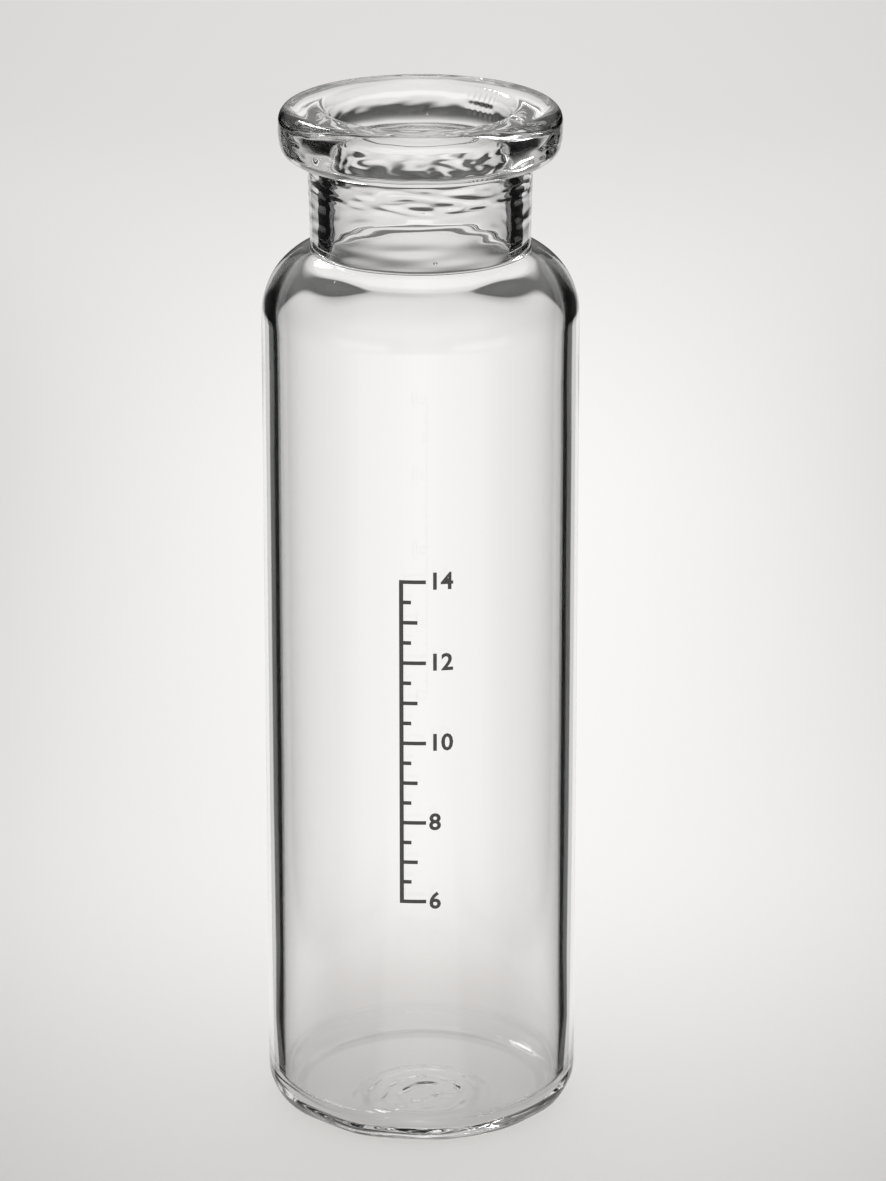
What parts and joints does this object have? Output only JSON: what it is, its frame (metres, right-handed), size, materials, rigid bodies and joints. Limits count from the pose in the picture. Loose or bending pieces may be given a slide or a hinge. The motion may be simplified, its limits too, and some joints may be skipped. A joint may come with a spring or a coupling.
{
  "type": "glass sample vial",
  "caption": "Open clear glass vial with a straight round body, rounded shoulder, short neck and a thick flange for a crimp cap; it stands on a flat ring around a shallow hollow.",
  "frame": {"origin": "centre of the base, on the surface the vial stands on", "axes": "+Z along the vial's axis, up out of the mouth; the printed scale faces halfway between -X and +Y"},
  "size_m": [0.0228, 0.0228, 0.0755],
  "materials": {
    "glass": "fire-polished clear borosilicate",
    "ink": "thin dark grey screen print on the glass"
  },
  "bodies": {
    "root": {"vial": "glass"}
  },
  "joints": []
}
